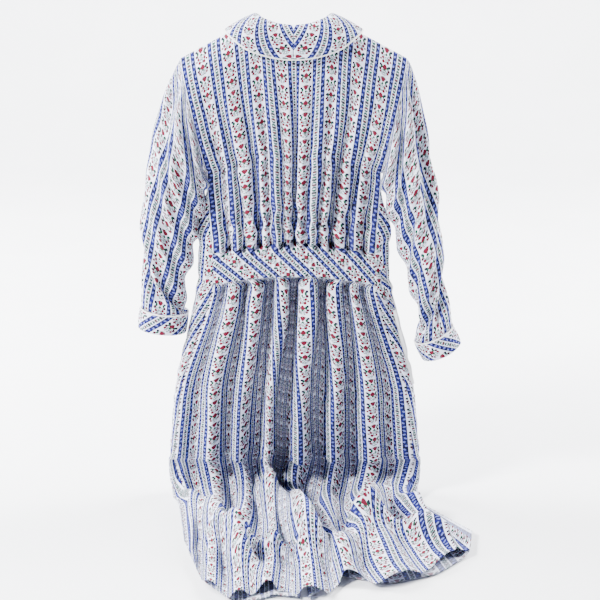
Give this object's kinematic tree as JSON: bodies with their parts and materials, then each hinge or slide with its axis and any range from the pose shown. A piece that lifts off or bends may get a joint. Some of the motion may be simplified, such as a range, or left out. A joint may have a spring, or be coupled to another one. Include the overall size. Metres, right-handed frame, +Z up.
{
  "type": "patient gown",
  "caption": "Full-length long-sleeved cotton gown with a wide turned-down piped collar, back waistband, gathered skirt and bias cuffs, hanging with its hem on the floor.",
  "frame": {"origin": "midway between the two points where the shoulder seams meet the neck, where a hanger bears", "axes": "+Z up, +Y to the front of the gown, +X to the wearer's right"},
  "size_m": [0.6859, 0.4906, 1.0253],
  "materials": {
    "print_cotton": "printed lightweight woven cotton, white with blue stripes and small hearts",
    "white_cotton": "plain woven cotton",
    "piping": "corded cotton piping",
    "zip_tape": "woven tape",
    "zip_coil": "satin coil",
    "nickel": "nickel plate"
  },
  "bodies": {
    "gown": {"back_bodice": "print_cotton", "back_skirt": "print_cotton", "back_waistband": "print_cotton", "collar_piping_left": "piping", "collar_piping_right": "piping", "front_facing_left": "print_cotton", "front_facing_right": "print_cotton", "front_left": "print_cotton", "front_right": "print_cotton", "hanging_loop": "white_cotton", "pocket_bag": "white_cotton", "pocket_welt": "print_cotton", "under_collar_left": "print_cotton", "under_collar_right": "print_cotton", "upper_collar_left": "print_cotton", "upper_collar_right": "print_cotton", "waistband_facing": "print_cotton", "zip_bottom_stop": "nickel", "zip_coil_left": "zip_coil", "zip_coil_right": "zip_coil", "zip_tape_left": "zip_tape", "zip_tape_right": "zip_tape", "zip_top_stop_left": "nickel", "zip_top_stop_right": "nickel"},
    "sleeve_left": {"sleeve_left": "print_cotton", "cuff_left": "print_cotton", "cuff_facing_left": "print_cotton", "cuff_piping_left": "piping"},
    "sleeve_right": {"sleeve_right": "print_cotton", "cuff_right": "print_cotton", "cuff_facing_right": "print_cotton", "cuff_piping_right": "piping"},
    "zip_slider": {"zip_slider": "nickel"},
    "zip_pull": {"zip_pull": "nickel"}
  },
  "joints": [
    {"name": "sleeve_left_lift", "type": "hinge", "parent": "gown", "child": "sleeve_left", "pos_m": [-0.2208, 0, -0.0735], "axis": [0, 1, 0], "range_deg": [0, 40]},
    {"name": "sleeve_right_lift", "type": "hinge", "parent": "gown", "child": "sleeve_right", "pos_m": [0.2208, 0, -0.0735], "axis": [0, -1, 0], "range_deg": [0, 40]},
    {"name": "zip_slide", "type": "slide", "parent": "gown", "child": "zip_slider", "axis": [0, 0, -1], "range_m": [0, 0.67]},
    {"name": "pull_flip", "type": "hinge", "parent": "zip_slider", "child": "zip_pull", "pos_m": [0, 0.04745, -0.1344], "axis": [1, 0, 0], "range_deg": [0, 170]}
  ]
}
